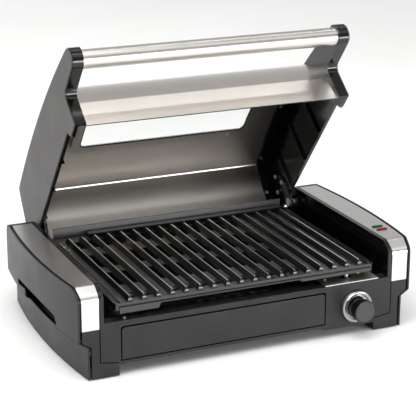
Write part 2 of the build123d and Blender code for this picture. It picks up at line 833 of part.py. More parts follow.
# Probe bracket: bare steel plate on the front flange, its rear edge turned down to the liner
with BuildPart() as probe_bracket:
    bracket_x = (probe_x - bracket_half_width, probe_x + bracket_half_width)
    box_between(bracket_x, (bracket_front_y, bracket_rear_y), (panel_top_z, panel_top_z + sheet))
    box_between(bracket_x, (bracket_rear_y - sheet, bracket_rear_y), (liner_top_z, panel_top_z))
    with BuildSketch(Plane.XY.offset(panel_top_z)):
        with Locations((probe_x, probe_y)):
            Circle(bush_neck_radius)
        with Locations(*rivet_places):
            Circle(rivet_radius)
    extrude(amount=sheet, mode=Mode.SUBTRACT)
write_piece(probe_bracket, "probe_bracket")

with BuildPart() as bracket_rivets:
    bracket_top_z = panel_top_z + sheet
    with BuildSketch(Plane.XY.offset(bracket_top_z)):
        with Locations(*rivet_places):
            Circle(rivet_head_radius)
    extrude(amount=rivet_head)
    fillet(bracket_rivets.edges().group_by(Axis.Z)[-1], rivet_head / 2)
    with BuildSketch(Plane.XY.offset(bracket_top_z)):
        with Locations(*rivet_places):
            Circle(rivet_radius)
    extrude(amount=-sheet * 2)
write_piece(bracket_rivets, "bracket_rivets")

# Probe sleeve under the bracket and its dark bush on top, both bored for the probe
with BuildPart() as probe_sleeve:
    with BuildSketch(Plane.XY.offset(sleeve_low_z)):
        with Locations((probe_x, probe_y)):
            Circle(sleeve_radius)
    extrude(amount=panel_top_z - sleeve_low_z)
    with BuildSketch(Plane.XY.offset(sleeve_low_z + wall)):
        with Locations((probe_x, probe_y)):
            Circle(probe_radius + probe_bore_gap)
    extrude(amount=panel_top_z - sleeve_low_z, mode=Mode.SUBTRACT)
write_piece(probe_sleeve, "probe_sleeve")

with BuildPart() as probe_bush:
    with BuildSketch(Plane.XY.offset(bracket_top_z)):
        with Locations((probe_x, probe_y)):
            Circle(bush_radius)
    extrude(amount=bush_height)
    fillet(probe_bush.edges().group_by(Axis.Z)[-1], bush_height / 2)
    with BuildSketch(Plane.XY.offset(panel_top_z)):
        with Locations((probe_x, probe_y)):
            Circle(bush_neck_radius)
    extrude(amount=sheet)
    with BuildSketch(Plane.XY.offset(panel_top_z)):
        with Locations((probe_x, probe_y)):
            Circle(probe_radius + probe_bore_gap)
    extrude(amount=sheet + bush_height, mode=Mode.SUBTRACT)
write_piece(probe_bush, "probe_bush")

with BuildPart() as heat_probe:
    with BuildSketch(Plane.XY.offset(probe_low_z)):
        with Locations((probe_x, probe_y)):
            Circle(probe_radius)
    extrude(amount=plate_low_z - seat_gap - probe_low_z)
    chamfer(heat_probe.edges().group_by(Axis.Z)[-1], probe_radius / 4)
write_piece(heat_probe, "heat_probe")

# Thermostat behind the front panel, bored for its shaft
with BuildPart() as thermostat:
    with BuildSketch(Plane.XZ.offset(-wall)):
        with Locations((knob_x, knob_z)):
            Rectangle(
                thermostat_width + thermostat_plate_margin * 2, thermostat_height + thermostat_plate_margin
            )
    extrude(amount=-thermostat_plate)
    with BuildSketch(Plane.XZ.offset(-wall - thermostat_plate)):
        with Locations((knob_x, knob_z)):
            RectangleRounded(thermostat_width, thermostat_height, wall)
    extrude(amount=-thermostat_depth)
    with BuildSketch(Plane.XZ.offset(-wall)):
        with Locations((knob_x, knob_z)):
            Circle(pin_radius + bore_gap)
    extrude(amount=wall - shaft_rear_y - seat_gap, mode=Mode.SUBTRACT)
write_piece(thermostat, "thermostat")

with BuildPart() as thermostat_shaft:
    with BuildSketch(Plane.XZ.offset(-shaft_rear_y)):
        with Locations((knob_x, knob_z)):
            Circle(pin_radius)
    extrude(amount=shaft_rear_y - shaft_front_y)
write_piece(thermostat_shaft, "thermostat_shaft")

# Knob: barrel with a cap let into its front, its chrome ring, and the bezel on the panel
knob_axis = Plane(origin=(knob_x, 0, knob_z), x_dir=(1, 0, 0), z_dir=(0, 0, 1))
knob_spin = Axis((knob_x, 0, knob_z), (0, 1, 0))
cap_bed_y = knob_cap_depth - knob_reach
with BuildPart() as control_knob:
    with BuildSketch(knob_axis) as knob_profile:
        with BuildLine():
            Polyline(
                (0, -knob_back_gap),
                (knob_radius, -knob_back_gap),
                (knob_radius, -knob_reach),
                (knob_radius - knob_cap_rim, -knob_reach),
                (knob_radius - knob_cap_rim, cap_bed_y),
                (0, cap_bed_y),
                close=True,
            )
        make_face()
        fillet(near(knob_profile, (knob_radius, -knob_reach)), knob_cap_rim / 2)
        fillet(near(knob_profile, (knob_radius, -knob_back_gap)), knob_edge_radius)
    revolve(axis=knob_spin)
    with BuildSketch(Plane.XZ.offset(knob_back_gap)):
        with Locations((knob_x, knob_z)):
            Circle(pin_radius)
    extrude(amount=-shaft_front_y - knob_back_gap, mode=Mode.SUBTRACT)
write_piece(control_knob, "control_knob")

with BuildPart() as knob_cap:
    with BuildSketch(Plane.XZ.offset(-cap_bed_y)):
        with Locations((knob_x, knob_z)):
            Circle(knob_radius - knob_cap_rim - bore_gap)
    extrude(amount=knob_cap_depth - knob_cap_recess)
    fillet(knob_cap.edges().group_by(Axis.Y)[0], knob_cap_recess)
write_piece(knob_cap, "knob_cap")

with BuildPart() as knob_ring:
    with BuildSketch(Plane.XZ.offset(knob_back_gap)):
        with Locations((knob_x, knob_z)):
            Circle(knob_ring_radius)
            Circle(knob_radius, mode=Mode.SUBTRACT)
    extrude(amount=knob_ring_length)
    outer_edges = knob_ring.edges().filter_by(GeomType.CIRCLE).group_by(SortBy.RADIUS)[-1]
    fillet(outer_edges, (knob_ring_radius - knob_radius) / 3)
write_piece(knob_ring, "knob_ring")

with BuildPart() as knob_bezel:
    with BuildSketch(knob_axis) as bezel_profile:
        with BuildLine():
            Polyline(
                (bezel_inner_radius, 0),
                (bezel_outer_radius, 0),
                (bezel_outer_radius, -bezel_edge),
                (bezel_front_radius, -bezel_depth),
                (bezel_inner_radius, -bezel_depth),
                close=True,
            )
        make_face()
        fillet(near(bezel_profile, (bezel_front_radius, -bezel_depth)), bezel_edge_radius)
    revolve(axis=knob_spin)
write_piece(knob_bezel, "knob_bezel")

# Small electric pieces inside
with BuildPart() as thermal_fuse:
    with BuildSketch(Plane.XZ.offset(-fuse_y)):
        with Locations((fuse_x, tub_wall_top_z - fuse_radius)):
            Circle(fuse_radius)
    extrude(amount=fuse_length)
write_piece(thermal_fuse, "thermal_fuse")

with BuildPart() as terminal_block:
    terminal_width, terminal_depth, terminal_height = terminal_size
    with BuildSketch(Plane.XY.offset(tub_floor_z)):
        with Locations((terminal_x, terminal_y)):
            Rectangle(terminal_width, terminal_depth)
    extrude(amount=terminal_height)
    with BuildSketch(Plane.XY.offset(tub_floor_z + terminal_height)):
        with Locations((terminal_x, terminal_y)):
            with GridLocations(terminal_width / 3, 0, 3, 1):
                Circle(screw_head_radius)
    extrude(amount=-terminal_height / 2, mode=Mode.SUBTRACT)
write_piece(terminal_block, "terminal_block")

# Lamps: two lenses over one holder under the right cover's top
for name, lens_y in lamp_ys.items():
    with BuildPart() as lens:
        with BuildSketch(Plane.XY.offset(pod_top_z - sheet - wall)):
            with Locations((lamp_x, lens_y)):
                SlotOverall(lamp_length, lamp_width)
        extrude(amount=sheet + wall + lamp_proud)
        fillet(lens.edges().group_by(Axis.Z)[-1], lamp_edge_radius)
    write_piece(lens, name)

with BuildPart() as lamp_holder:
    holder_width, holder_depth, holder_height = lamp_holder_size
    with BuildSketch(Plane.XY.offset(pod_top_z - sheet - wall)):
        with Locations((lamp_x, sum(lamp_ys.values()) / 2)):
            Rectangle(holder_width, holder_depth)
    extrude(amount=-holder_height)
write_piece(lamp_holder, "lamp_holder")

# Drip tray and its front
with BuildPart() as tray_front:
    with BuildSketch(Plane.XZ) as tray_face:
        with Locations(((tray_left_x + tray_right_x) / 2, (tray_low_z + tray_high_z) / 2)):
            Rectangle(tray_right_x - tray_left_x, tray_high_z - tray_low_z)
        fillet(tray_face.vertices().group_by(Axis.Y)[-1], tray_corner_radius)
    extrude(amount=-wall)
write_piece(tray_front, "tray_front")

with BuildPart() as drip_tray:
    pan_low_z = tray_low_z + tray_gap
    pan_front_y = wall + tray_rim
    pan_width = tray_right_x - tray_left_x - tray_side_room * 2
    pan_depth = tray_rear_y - pan_front_y
    pan_middle = ((tray_left_x + tray_right_x) / 2, (pan_front_y + tray_rear_y) / 2)
    with BuildSketch(Plane.XY.offset(pan_low_z)):
        with Locations(pan_middle):
            RectangleRounded(pan_width, pan_depth, tray_pan_radius)
    extrude(amount=tray_pan_top_z - pan_low_z)
    with BuildSketch(Plane.XY.offset(tray_pan_top_z)):
        with Locations(pan_middle):
            RectangleRounded(pan_width + tray_rim * 2, pan_depth + tray_rim * 2, tray_pan_radius + tray_rim)
    extrude(amount=-tray_wall)
    with BuildSketch(Plane.XY.offset(pan_low_z + tray_wall)):
        with Locations(pan_middle):
            RectangleRounded(pan_width - tray_wall * 2, pan_depth - tray_wall * 2, tray_pan_radius - tray_wall)
    extrude(amount=tray_pan_top_z - pan_low_z, mode=Mode.SUBTRACT)
write_piece(drip_tray, "drip_tray")

# Grill plate: ridged casting with slotted channels, skirt, rims and legs
with BuildPart() as ridge:
    half_base = ridge_base_width / 2
    half_crest = ridge_crest_width / 2
    with BuildSketch(Plane.XZ.offset(-ridge_front_y)):
        with BuildLine():
            Polyline(
                (-half_base, plate_top_z),
                (half_base, plate_top_z),
                (half_crest, crest_z),
                (-half_crest, crest_z),
                close=True,
            )
        make_face()
    extrude(amount=ridge_front_y - (plate_rear_y - ridge_rear_inset))
    fillet(ridge.edges().filter_by(Axis.X).group_by(Axis.Z)[-1], ridge_end_radius)

with BuildPart() as grill_plate:
    plate_middle = (0, (plate_front_y + plate_rear_y) / 2)
    plate_width = plate_half_width * 2
    plate_depth = plate_rear_y - plate_front_y
    with BuildSketch(Plane.XY.offset(plate_low_z)):
        with Locations(plate_middle):
            RectangleRounded(plate_width, plate_depth, plate_corner_radius)
    extrude(amount=plate_thickness)
    with BuildSketch(Plane.XY.offset(side_skirt_z)):
        with Locations(plate_middle):
            RectangleRounded(plate_width, plate_depth, plate_corner_radius)
            RectangleRounded(
                plate_width - skirt_thickness * 2, plate_depth - skirt_thickness * 2,
                plate_corner_radius - skirt_thickness, mode=Mode.SUBTRACT,
            )
    extrude(amount=plate_low_z - side_skirt_z)
    with BuildSketch(Plane.XZ.offset(-plate_front_y)) as front_skirt:
        edge_x = plate_half_width - plate_corner_radius
        with BuildLine():
            Polyline(
                (-edge_x, plate_low_z),
                (-edge_x, plate_low_z - skirt_left_drop),
                (skirt_left_x, plate_low_z - skirt_left_drop),
                (skirt_left_x + skirt_slant, skirt_mid_z),
                (skirt_right_x, skirt_mid_z),
                (skirt_right_x + skirt_slant, plate_low_z - skirt_right_drop),
                (edge_x, plate_low_z - skirt_right_drop),
                (edge_x, plate_low_z),
                close=True,
            )
        make_face()
    box_between(
        (skirt_left_x, skirt_right_x), (plate_front_y - overrun, plate_front_y + skirt_thickness),
        (side_skirt_z - overrun, skirt_mid_z), mode=Mode.SUBTRACT,
    )
    extrude(front_skirt.sketch, amount=-skirt_thickness)
    with BuildSketch(Plane.XY.offset(plate_top_z)):
        side_rim_rear_y = plate_rear_y - side_rim_rear_inset
        side_rim_x = plate_half_width - side_rim_inset
        rim_middle_y = (ridge_front_y + side_rim_rear_y) / 2
        with Locations((side_rim_x, rim_middle_y), (-side_rim_x, rim_middle_y)):
            SlotOverall(side_rim_rear_y - ridge_front_y, side_rim_width, rotation=90)
    extrude(amount=side_rim_height)
    with BuildSketch(Plane.XY.offset(plate_top_z)) as rear_rim:
        rear_rim_middle = ((rear_rim_left_inset - rear_rim_right_inset) / 2, plate_rear_y - rear_rim_depth / 2)
        with Locations(rear_rim_middle):
            Rectangle(plate_width - rear_rim_left_inset - rear_rim_right_inset, rear_rim_depth)
        fillet(rear_rim.vertices(), rear_rim_radius)
    extrude(amount=rear_rim_height)
    with GridLocations(ridge_pitch, 0, ridge_count, 1):
        add(ridge.part)
    first_channel_x = -ridge_pitch * (ridge_count - 2) / 2
    slot_spots = [(channel, shares) for channel in slotted_channels for shares in slot_span_shares]
    slot_spots.append((half_slotted_channel, slot_span_shares[-1]))
    with BuildSketch(Plane.XY.offset(plate_low_z)):
        for channel, (front_share, rear_share) in slot_spots:
            slot_middle_y = plate_front_y + plate_depth * (front_share + rear_share) / 2
            with Locations((first_channel_x + channel * ridge_pitch, slot_middle_y)):
                Rectangle(slot_width, plate_depth * (rear_share - front_share))
    extrude(amount=plate_thickness, mode=Mode.SUBTRACT)
    with BuildSketch(Plane.XY.offset(liner_top_z + seat_gap)):
        for leg_side in (leg_x, -leg_x):
            with Locations((leg_side, leg_front_y), (leg_side, plate_rear_y - leg_rear_inset)):
                Circle(leg_radius)
    extrude(amount=plate_low_z - liner_top_z - seat_gap)
write_piece(grill_plate, "grill_plate")


def lid_plane(x):
    """The open lid's own plane at this x: first axis forwards from the hinge, second up from it."""
    angle = radians(lid_open_angle)
    return Plane(origin=(x, hinge_y, hinge_z), x_dir=(0, -cos(angle), sin(angle)), z_dir=(-1, 0, 0))


def lid_top_plane(v):
    """The plane over the open lid at this height: first axis across, second backwards from the hinge."""
    angle = radians(lid_open_angle)
    up = Vector(0, sin(angle), cos(angle))
    return Plane(origin=Vector(0, hinge_y, hinge_z) + up * v, x_dir=(1, 0, 0), z_dir=up)


def arc_v(u, crown_u, crown_v, radius, inset=0):
    """Height of a crowned outline over u: a circle with its highest point at the crown."""
    return crown_v - radius + sqrt((radius - inset) ** 2 - (u - crown_u) ** 2)


def hood_v(u, inset=0):
    """Height of the hood's top over u, drawn in by the inset."""
    return arc_v(u, hood_crown_u, hood_crown_v, hood_crown_radius, inset)


def side_v(u):
    """Height of the lid's side outline over u."""
    return arc_v(u, side_crown_u, side_crown_v, side_crown_radius)


def lid_side(x, inset=0):
    """Side outline of the lid: nose for the handle, waist, foot, lower edge, round rear, crowned top."""
    nose_u = front_u + nose_reach
    nose_top = (nose_u, nose_under_v + nose_height)
    rear_top = (-side_rear_top_u, side_v(-side_rear_top_u))
    arc_end = (nose_u, side_v(nose_u))
    with BuildSketch(lid_plane(x)) as outline:
        with BuildLine():
            Polyline(
                arc_end,
                (nose_u, nose_under_v),
                (front_u, nose_under_v),
                (front_u, lip_v),
                (foot_back_u, lip_v),
                (foot_back_u - lid_foot_slope, lid_edge_v),
                (-side_rear_low_u, lid_edge_v),
                rear_top,
            )
            ThreePointArc(rear_top, (side_crown_u, side_crown_v), arc_end)
        make_face()
        fillet(near(outline, nose_top, (nose_u, nose_under_v)), nose_radius)
        fillet(near(outline, (front_u, nose_under_v)), waist_radius)
        fillet(near(outline, rear_top), side_rear_radius)
        fillet(near(outline, (-side_rear_low_u, lid_edge_v)), side_low_radius)
        if inset:
            offset(amount=-inset)
    return outline.sketch


def hood_region(x, inset=0):
    """Everything under the hood's outside: raked lip, bend, sloping front, crowned top, rear fold."""
    low_v = lip_v - hood_bend_height
    lip = (lip_u, lip_v)
    bend = (hood_bend_u, hood_bend_v)
    shoulder = (hood_shoulder_u, hood_v(hood_shoulder_u))
    cheek = (hood_shoulder_u + hood_cheek_run, shoulder[1] - hood_cheek_drop)
    fold = (-hood_fold_u, hood_v(-hood_fold_u))
    rear_foot = (-hood_foot_u, hood_foot_v)
    with BuildSketch(lid_plane(x)) as region:
        with BuildLine():
            Polyline((lip_u, low_v), lip, bend)
            ThreePointArc(bend, cheek, shoulder)
            ThreePointArc(shoulder, (hood_crown_u, hood_crown_v), fold)
            Polyline(fold, rear_foot, (-hood_foot_u, low_v), (lip_u, low_v))
        make_face()
        fillet(near(region, bend), hood_bend_radius)
        fillet(near(region, shoulder), hood_shoulder_radius)
        fillet(near(region, fold), hood_fold_radius)
        if inset:
            offset(amount=-inset)
    return region.sketch


def screw_plane(u, depth):
    """Plane on the underside of the hood's crowned part at this depth, facing out of the lid."""
    lean = asin((u - hood_crown_u) / (hood_crown_radius - depth))
    middle = lid_plane(0)
    place = middle.from_local_coords((u, hood_v(u, depth), 0))
    outwards = middle.from_local_coords((u + sin(lean), hood_v(u, depth) + cos(lean), 0)) - place
    return Plane(origin=place, x_dir=(1, 0, 0), z_dir=outwards)


def rear_screw_plane(v, depth):
    """Plane on the inside of the hood's rear wall at this height and depth, facing out of the lid."""
    lean = atan2(hood_foot_u - hood_fold_u, hood_v(-hood_fold_u) - hood_foot_v)
    u = (v - hood_foot_v) * tan(lean) - hood_foot_u
    middle = lid_plane(0)
    place = middle.from_local_coords((u + depth * cos(lean), v - depth * sin(lean), 0))
    outwards = middle.from_local_coords((u, v, 0)) - place
    return Plane(origin=place, x_dir=(1, 0, 0), z_dir=outwards)


def hood_layer(outer_inset, inner_inset, half_width):
    """A layer under the hood's outside, between two depths and across the given half width."""
    with BuildPart() as layer:
        extrude(hood_region(half_width, outer_inset), amount=half_width * 2)
        extrude(hood_region(half_width, inner_inset), amount=half_width * 2, mode=Mode.SUBTRACT)
    return layer.part


def window_prism(margin, radius):
    """An upright block over the window, larger than it by the margin on each side."""
    length = window_front_u - window_rear_u
    with BuildPart() as prism:
        with BuildSketch(lid_top_plane(hood_crown_v + overrun)):
            with Locations((0, -(window_front_u + window_rear_u) / 2)):
                RectangleRounded(window_half_width * 2 + margin * 2, length + margin * 2, radius)
        extrude(amount=-hood_crown_v / 2)
    return prism.part


# Hood: one folded sheet with the window opening and a hemmed lip
with BuildPart() as lid_hood:
    add(hood_layer(0, sheet, hood_inner_x))
    with BuildSketch(lid_plane(hood_inner_x + overrun)):
        low_cut = hood_bend_height * 2
        with Locations((lip_u, lip_v - low_cut / 2)):
            Rectangle(low_cut * 2, low_cut)
        with Locations(((lip_u - hood_foot_u) / 2, lip_v - low_cut / 2)):
            Rectangle(lip_u * 2, low_cut)
        with Locations((-hood_foot_u, hood_foot_v - low_cut / 2)):
            Rectangle(low_cut, low_cut)
    extrude(amount=(hood_inner_x + overrun) * 2, mode=Mode.SUBTRACT)
    with BuildSketch(lid_plane(hood_inner_x)):
        with Locations((lip_u - hood_hem_radius, lip_v + hood_hem_radius)):
            Circle(hood_hem_radius)
    extrude(amount=hood_inner_x * 2)
    add(window_prism(0, window_corner_radius), mode=Mode.SUBTRACT)
write_piece(lid_hood, "lid_hood")

# Window: bent glass under the sheet, held by a rebated steel frame with screws
glass_depth = sheet + glass_thickness
frame_depth = glass_depth + window_frame_thickness
window_half_block = window_half_width + window_frame_width
with BuildPart() as window_glass:
    add(hood_layer(sheet, glass_depth, window_half_block))
    add(window_prism(glass_margin, window_corner_radius), mode=Mode.INTERSECT)
write_piece(window_glass, "window_glass")

with BuildPart() as window_frame:
    add(hood_layer(sheet, frame_depth, window_half_block))
    add(window_prism(window_frame_width, window_corner_radius + glass_margin), mode=Mode.INTERSECT)
    add(window_prism(0, window_corner_radius), mode=Mode.SUBTRACT)
    add(window_glass.part, mode=Mode.SUBTRACT)
write_piece(window_frame, "window_frame")

# Silicone seal round the pane, inside the frame
with BuildPart() as window_seal:
    add(hood_layer(glass_depth, frame_depth, window_half_block))
    add(window_prism(0, window_corner_radius), mode=Mode.INTERSECT)
    add(window_prism(-seal_width, window_corner_radius - seal_width), mode=Mode.SUBTRACT)
write_piece(window_seal, "window_seal")

with BuildPart() as window_screws:
    strip_middle = (glass_margin + window_frame_width) / 2
    frame_screw_x = window_half_width - frame_screw_inset
    for screw_u in (window_rear_u - strip_middle, window_front_u + strip_middle):
        with BuildSketch(screw_plane(screw_u, frame_depth + bore_gap)):
            with Locations((-frame_screw_x, 0), (0, 0), (frame_screw_x, 0)):
                Circle(screw_head_radius)
        extrude(amount=-screw_head)
write_piece(window_screws, "window_screws")

# Lid ends: side plate with a thin foot, band out to the side outline, ledge under the hood, ribs
with BuildPart() as lid_end:
    extrude(lid_side(lid_cover_x), amount=lid_cover_x - lid_inner_x)
    extrude(hood_region(lid_plate_x), amount=lid_plate_x, mode=Mode.SUBTRACT)
    ledge_inner_x = lid_inner_x - ledge_width
    with BuildPart() as ledge:
        outer_face = hood_region(lid_plate_x, sheet + bore_gap)
        inner_face = hood_region(lid_plate_x, sheet + bore_gap + ledge_thickness)
        extrude(outer_face, amount=lid_plate_x - ledge_inner_x)
        extrude(inner_face, amount=lid_plate_x - ledge_inner_x, mode=Mode.SUBTRACT)
        with BuildSketch(lid_plane(lid_plate_x)):
            with Locations((ledge_front_u + front_u / 2, 0)):
                Rectangle(front_u, side_crown_v * 2 + overrun)
            with Locations((0, hood_foot_v - side_crown_v / 2)):
                Rectangle(front_u * 2, side_crown_v)
        extrude(amount=lid_plate_x, mode=Mode.SUBTRACT)
    add(ledge.part)
    for rib_u in frame_rib_us:
        rib_top_v = hood_v(rib_u, sheet + ledge_thickness)
        with BuildSketch(lid_plane(lid_plate_x)):
            with Locations((rib_u, (rib_top_v + lid_edge_v) / 2)):
                Rectangle(frame_rib_thickness, rib_top_v - lid_edge_v)
        extrude(amount=lid_plate)
    for gusset in range(gusset_count):
        gusset_u = gusset_rear_u + gusset * gusset_pitch
        gusset_top_v = hood_v(gusset_u, sheet + bore_gap + ledge_thickness / 2)
        with BuildSketch(lid_plane(lid_plate_x)):
            with Locations((gusset_u, gusset_top_v - gusset_height / 2)):
                Rectangle(frame_rib_thickness, gusset_height)
        extrude(amount=lid_plate_x - ledge_inner_x - gusset_gap)
    with BuildSketch(lid_plane(lid_inner_x + tube_socket)):
        with Locations((tube_u, tube_v)):
            Circle(tube_radius + bore_gap)
    extrude(amount=tube_socket + overrun, mode=Mode.SUBTRACT)
write_pair(lid_end, "lid_end")

# Grey side plates of the lid
with BuildPart() as lid_side_plate:
    extrude(lid_side(lid_outer_x, side_cover_inset), amount=lid_cover)
write_pair(lid_side_plate, "lid_side_plate")

# Handle: a steel tube between the two noses
with BuildPart() as handle_tube:
    tube_half_length = lid_inner_x + tube_socket
    with BuildSketch(lid_plane(tube_half_length)):
        with Locations((tube_u, tube_v)):
            Circle(tube_radius)
            Circle(tube_radius - tube_wall, mode=Mode.SUBTRACT)
    extrude(amount=tube_half_length * 2)
write_piece(handle_tube, "handle_tube")

# Hinge arms riveted inside the lid ends, bored for the pins
with BuildPart() as hinge_arm:
    with BuildSketch(lid_plane(lid_plate_x)) as arm_face:
        with BuildLine():
            Polyline(*zip(arm_outline_us, arm_outline_vs), close=True)
        make_face()
        Circle(arm_end_radius)
        Circle(pin_radius + bore_gap, mode=Mode.SUBTRACT)
    extrude(amount=arm_thickness)
write_pair(hinge_arm, "hinge_arm")

with BuildPart() as hinge_rivets:
    with BuildSketch(lid_plane(lid_plate_x - arm_thickness)):
        with Locations(*arm_rivets):
            Circle(rivet_head_radius)
    extrude(amount=rivet_head)
    fillet(hinge_rivets.edges().group_by(Axis.X)[0], rivet_head / 2)
    mirror(about=Plane.YZ)
write_piece(hinge_rivets, "hinge_rivets")

# Screws through the ledges into the hood's ends
with BuildPart() as hood_screws:
    head_depth = sheet + bore_gap + ledge_thickness + bore_gap
    screw_x = lid_inner_x - ledge_width / 2
    ledge_screw_us = (ledge_screw_rear_u, ledge_screw_middle_u, hood_shoulder_u - ledge_screw_front_gap)
    head_planes = [screw_plane(u, head_depth) for u in ledge_screw_us]
    for head_plane in head_planes + [rear_screw_plane(rear_screw_v, head_depth)]:
        with BuildSketch(head_plane):
            with Locations((screw_x, 0), (-screw_x, 0)):
                Circle(screw_head_radius)
        extrude(amount=-screw_head)
write_piece(hood_screws, "hood_screws")

# Screws under the tub, on the front flange and on the guard's foot
with BuildPart() as case_screws:
    with BuildSketch(Plane.XY.offset(strip_low_z)):
        case_screw_ys = (case_screw_front_y, tub_rear_y - case_screw_rear_gap)
        case_screw_xs = [cheek_x - inset for inset in case_screw_right_insets]
        case_screw_xs.append(case_screw_left_inset - cheek_x)
        with Locations(*[(x, y) for x in case_screw_xs for y in case_screw_ys]):
            Circle(case_screw_radius)
    extrude(amount=-case_screw_head)
write_piece(case_screws, "case_screws")

with BuildPart() as liner_screws:
    guard_screw_x = guard_half_width - guard_screw_inset
    screw_tops = [
        ((flange_screw_inset - cheek_x, flange_screw_y), panel_top_z),
        ((guard_screw_x, guard_y - guard_foot / 2), liner_top_z + sheet),
        ((-guard_screw_x, guard_y - guard_foot / 2), liner_top_z + sheet),
    ]
    for place, top_z in screw_tops:
        with BuildSketch(Plane.XY.offset(top_z)):
            with Locations(place):
                Circle(screw_head_radius)
        extrude(amount=screw_head)
write_piece(liner_screws, "liner_screws")
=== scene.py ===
import math

import bpy
from mathutils import Matrix, Vector

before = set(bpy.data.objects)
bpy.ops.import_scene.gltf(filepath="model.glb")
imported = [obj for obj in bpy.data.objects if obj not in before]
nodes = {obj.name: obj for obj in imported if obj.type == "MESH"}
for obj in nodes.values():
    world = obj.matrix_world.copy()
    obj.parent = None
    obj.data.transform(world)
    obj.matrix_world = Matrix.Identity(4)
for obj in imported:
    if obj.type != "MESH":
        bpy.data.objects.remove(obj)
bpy.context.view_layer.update()        # the imported grill's nodes, settled in place
mm = 0.001
print("packed grill loaded:", len(nodes), "nodes")


def linearColour(hexText):
    # sRGB to opaque linear colour: up to 0.04045 a straight slope, over it a power of 2.4
    parts = [int(hexText[i:i + 2], 16) / 255 for i in (1, 3, 5)]
    return [c / 12.92 if c <= 0.04045 else ((c + 0.055) / 1.055) ** 2.4 for c in parts] + [1.0]


def addNode(tree, kind, settings=None, values=None, links=None):
    # one node with its settings, its fixed inputs and the sockets that feed it
    node = tree.nodes.new(kind)
    for name, value in (settings or {}).items():
        setattr(node, name, value)
    for name, value in (values or {}).items():
        node.inputs[name].default_value = value
    for name, source in (links or {}).items():
        tree.links.new(source, node.inputs[name])
    return node


def addObject(name, data):
    # a new object of the scene
    thing = bpy.data.objects.new(name, data)
    bpy.context.scene.collection.objects.link(thing)
    return thing


def startMaterial(name, values):
    # a material with its uniform values on the shader's own sockets
    material = bpy.data.materials.new(name)
    material.use_nodes = True
    tree = material.node_tree
    shader = tree.nodes["Principled BSDF"]
    for key, value in values.items():
        shader.inputs[key].default_value = value
    place = addNode(tree, "ShaderNodeTexCoord").outputs["Object"]
    return material, tree, shader, place


def noiseField(tree, place, sizes, detail=2.0, roughness=0.5):
    # cloudy noise whose blobs measure sizes, in millimetres along x, y and z
    scale = [1 / (size * mm) for size in sizes]
    mapped = addNode(tree, "ShaderNodeMapping", values={"Scale": scale}, links={"Vector": place})
    noise = addNode(
        tree, "ShaderNodeTexNoise",
        values={"Scale": 1.0, "Detail": detail, "Roughness": roughness},
        links={"Vector": mapped.outputs["Vector"]},
    )
    return noise.outputs["Fac"]


def evenNoise(tree, place, size, detail=2.0):
    # the same noise with blobs of one size in all directions
    return noiseField(tree, place, (size, size, size), detail)


def spread(tree, source, low, high, fromLow=0.3, fromHigh=0.7):
    # stretches a field to run from low to high, and holds it outside fromLow and fromHigh, between
    # which most of a noise lies
    node = addNode(
        tree, "ShaderNodeMapRange",
        values={"From Min": fromLow, "From Max": fromHigh, "To Min": low, "To Max": high},
        links={"Value": source},
    )
    return node.outputs["Result"]


def shades(tree, source, stops):
    # colour ramp through hex stops, as (place, hex) pairs
    ramp = addNode(tree, "ShaderNodeValToRGB", links={"Fac": source})
    points = ramp.color_ramp.elements
    while len(points) < len(stops):
        points.new(0.5)        # any place does, since each stop is moved next
    for point, (position, hexText) in zip(points, stops):
        point.position = position
        point.color = linearColour(hexText)
    return ramp.outputs["Color"]


def combine(tree, operation, first, second):
    # one step of arithmetic on two fields
    node = addNode(tree, "ShaderNodeMath", settings={"operation": operation}, links={0: first, 1: second})
    return node.outputs["Value"]


def mixColours(tree, factor, first, second):
    # colour from first to second, which is a socket or a fixed hex colour; the node's colours are
    # its inputs 6 and 7 and its output 2
    node = addNode(tree, "ShaderNodeMix", settings={"data_type": "RGBA"}, links={"Factor": factor, 6: first})
    if isinstance(second, str):
        node.inputs[7].default_value = linearColour(second)
    else:
        tree.links.new(second, node.inputs[7])
    return node.outputs[2]


def bumpNormal(tree, height, depth):
    # turns a height field into a normal, depth in millimetres
    node = addNode(
        tree, "ShaderNodeBump", values={"Strength": 1.0, "Distance": depth * mm}, links={"Height": height},
    )
    return node.outputs["Normal"]


# for each plastic or ceramic its shades, its least and most roughness, and the size and depth of its
# grain in millimetres
plasticFinishes = {
    # injection-moulded ABS with a spark-eroded texture: soft, broad sheen and a fine grain
    "charcoalAbs": dict(
        stops=((0.3, "#161617"), (0.7, "#1D1D1E")), roughness=(0.34, 0.42), grain=0.7, depth=0.008,
        gloss=0.3,
    ),
    # the lid's side plates, the same texture in mid grey
    "greyAbs": dict(
        stops=((0.3, "#3B3A39"), (0.7, "#434140")), roughness=(0.42, 0.52), grain=0.7, depth=0.010,
    ),
    # ABS from a polished mould: near-black, with sharp reflections
    "blackGlossAbs": dict(
        stops=((0.3, "#050505"), (0.7, "#0A0A0A")), roughness=(0.12, 0.20), grain=3.0, depth=0.003,
    ),
    # heat-proof phenolic resin of the knob's cap: satin, a little greyer than the barrel
    "phenolicResin": dict(
        stops=((0.3, "#262627"), (0.7, "#2E2E2F")), roughness=(0.34, 0.42), grain=0.9, depth=0.006,
    ),
    # soft black silicone rubber of the feet, the gland and the window's seal
    "siliconeRubber": dict(
        stops=((0.3, "#121212"), (0.7, "#1A1A1A")), roughness=(0.60, 0.72), grain=1.2, depth=0.010,
    ),
    # vitreous enamel fired on sheet: black, smooth, with a faint orange peel
    "blackEnamel": dict(
        stops=((0.3, "#080808"), (0.7, "#0E0E0E")), roughness=(0.16, 0.26), grain=4.0, depth=0.006,
    ),
    # unglazed steatite ceramic of the element's ends and the terminal block
    "steatite": dict(
        stops=((0.3, "#D8D2C4"), (0.7, "#E6E1D6")), roughness=(0.55, 0.68), grain=0.8, depth=0.010,
    ),
}

mould = dict(ior=1.53, gloss=0.5, driftSize=40, driftDetail=3.0, grainDetail=1.0)


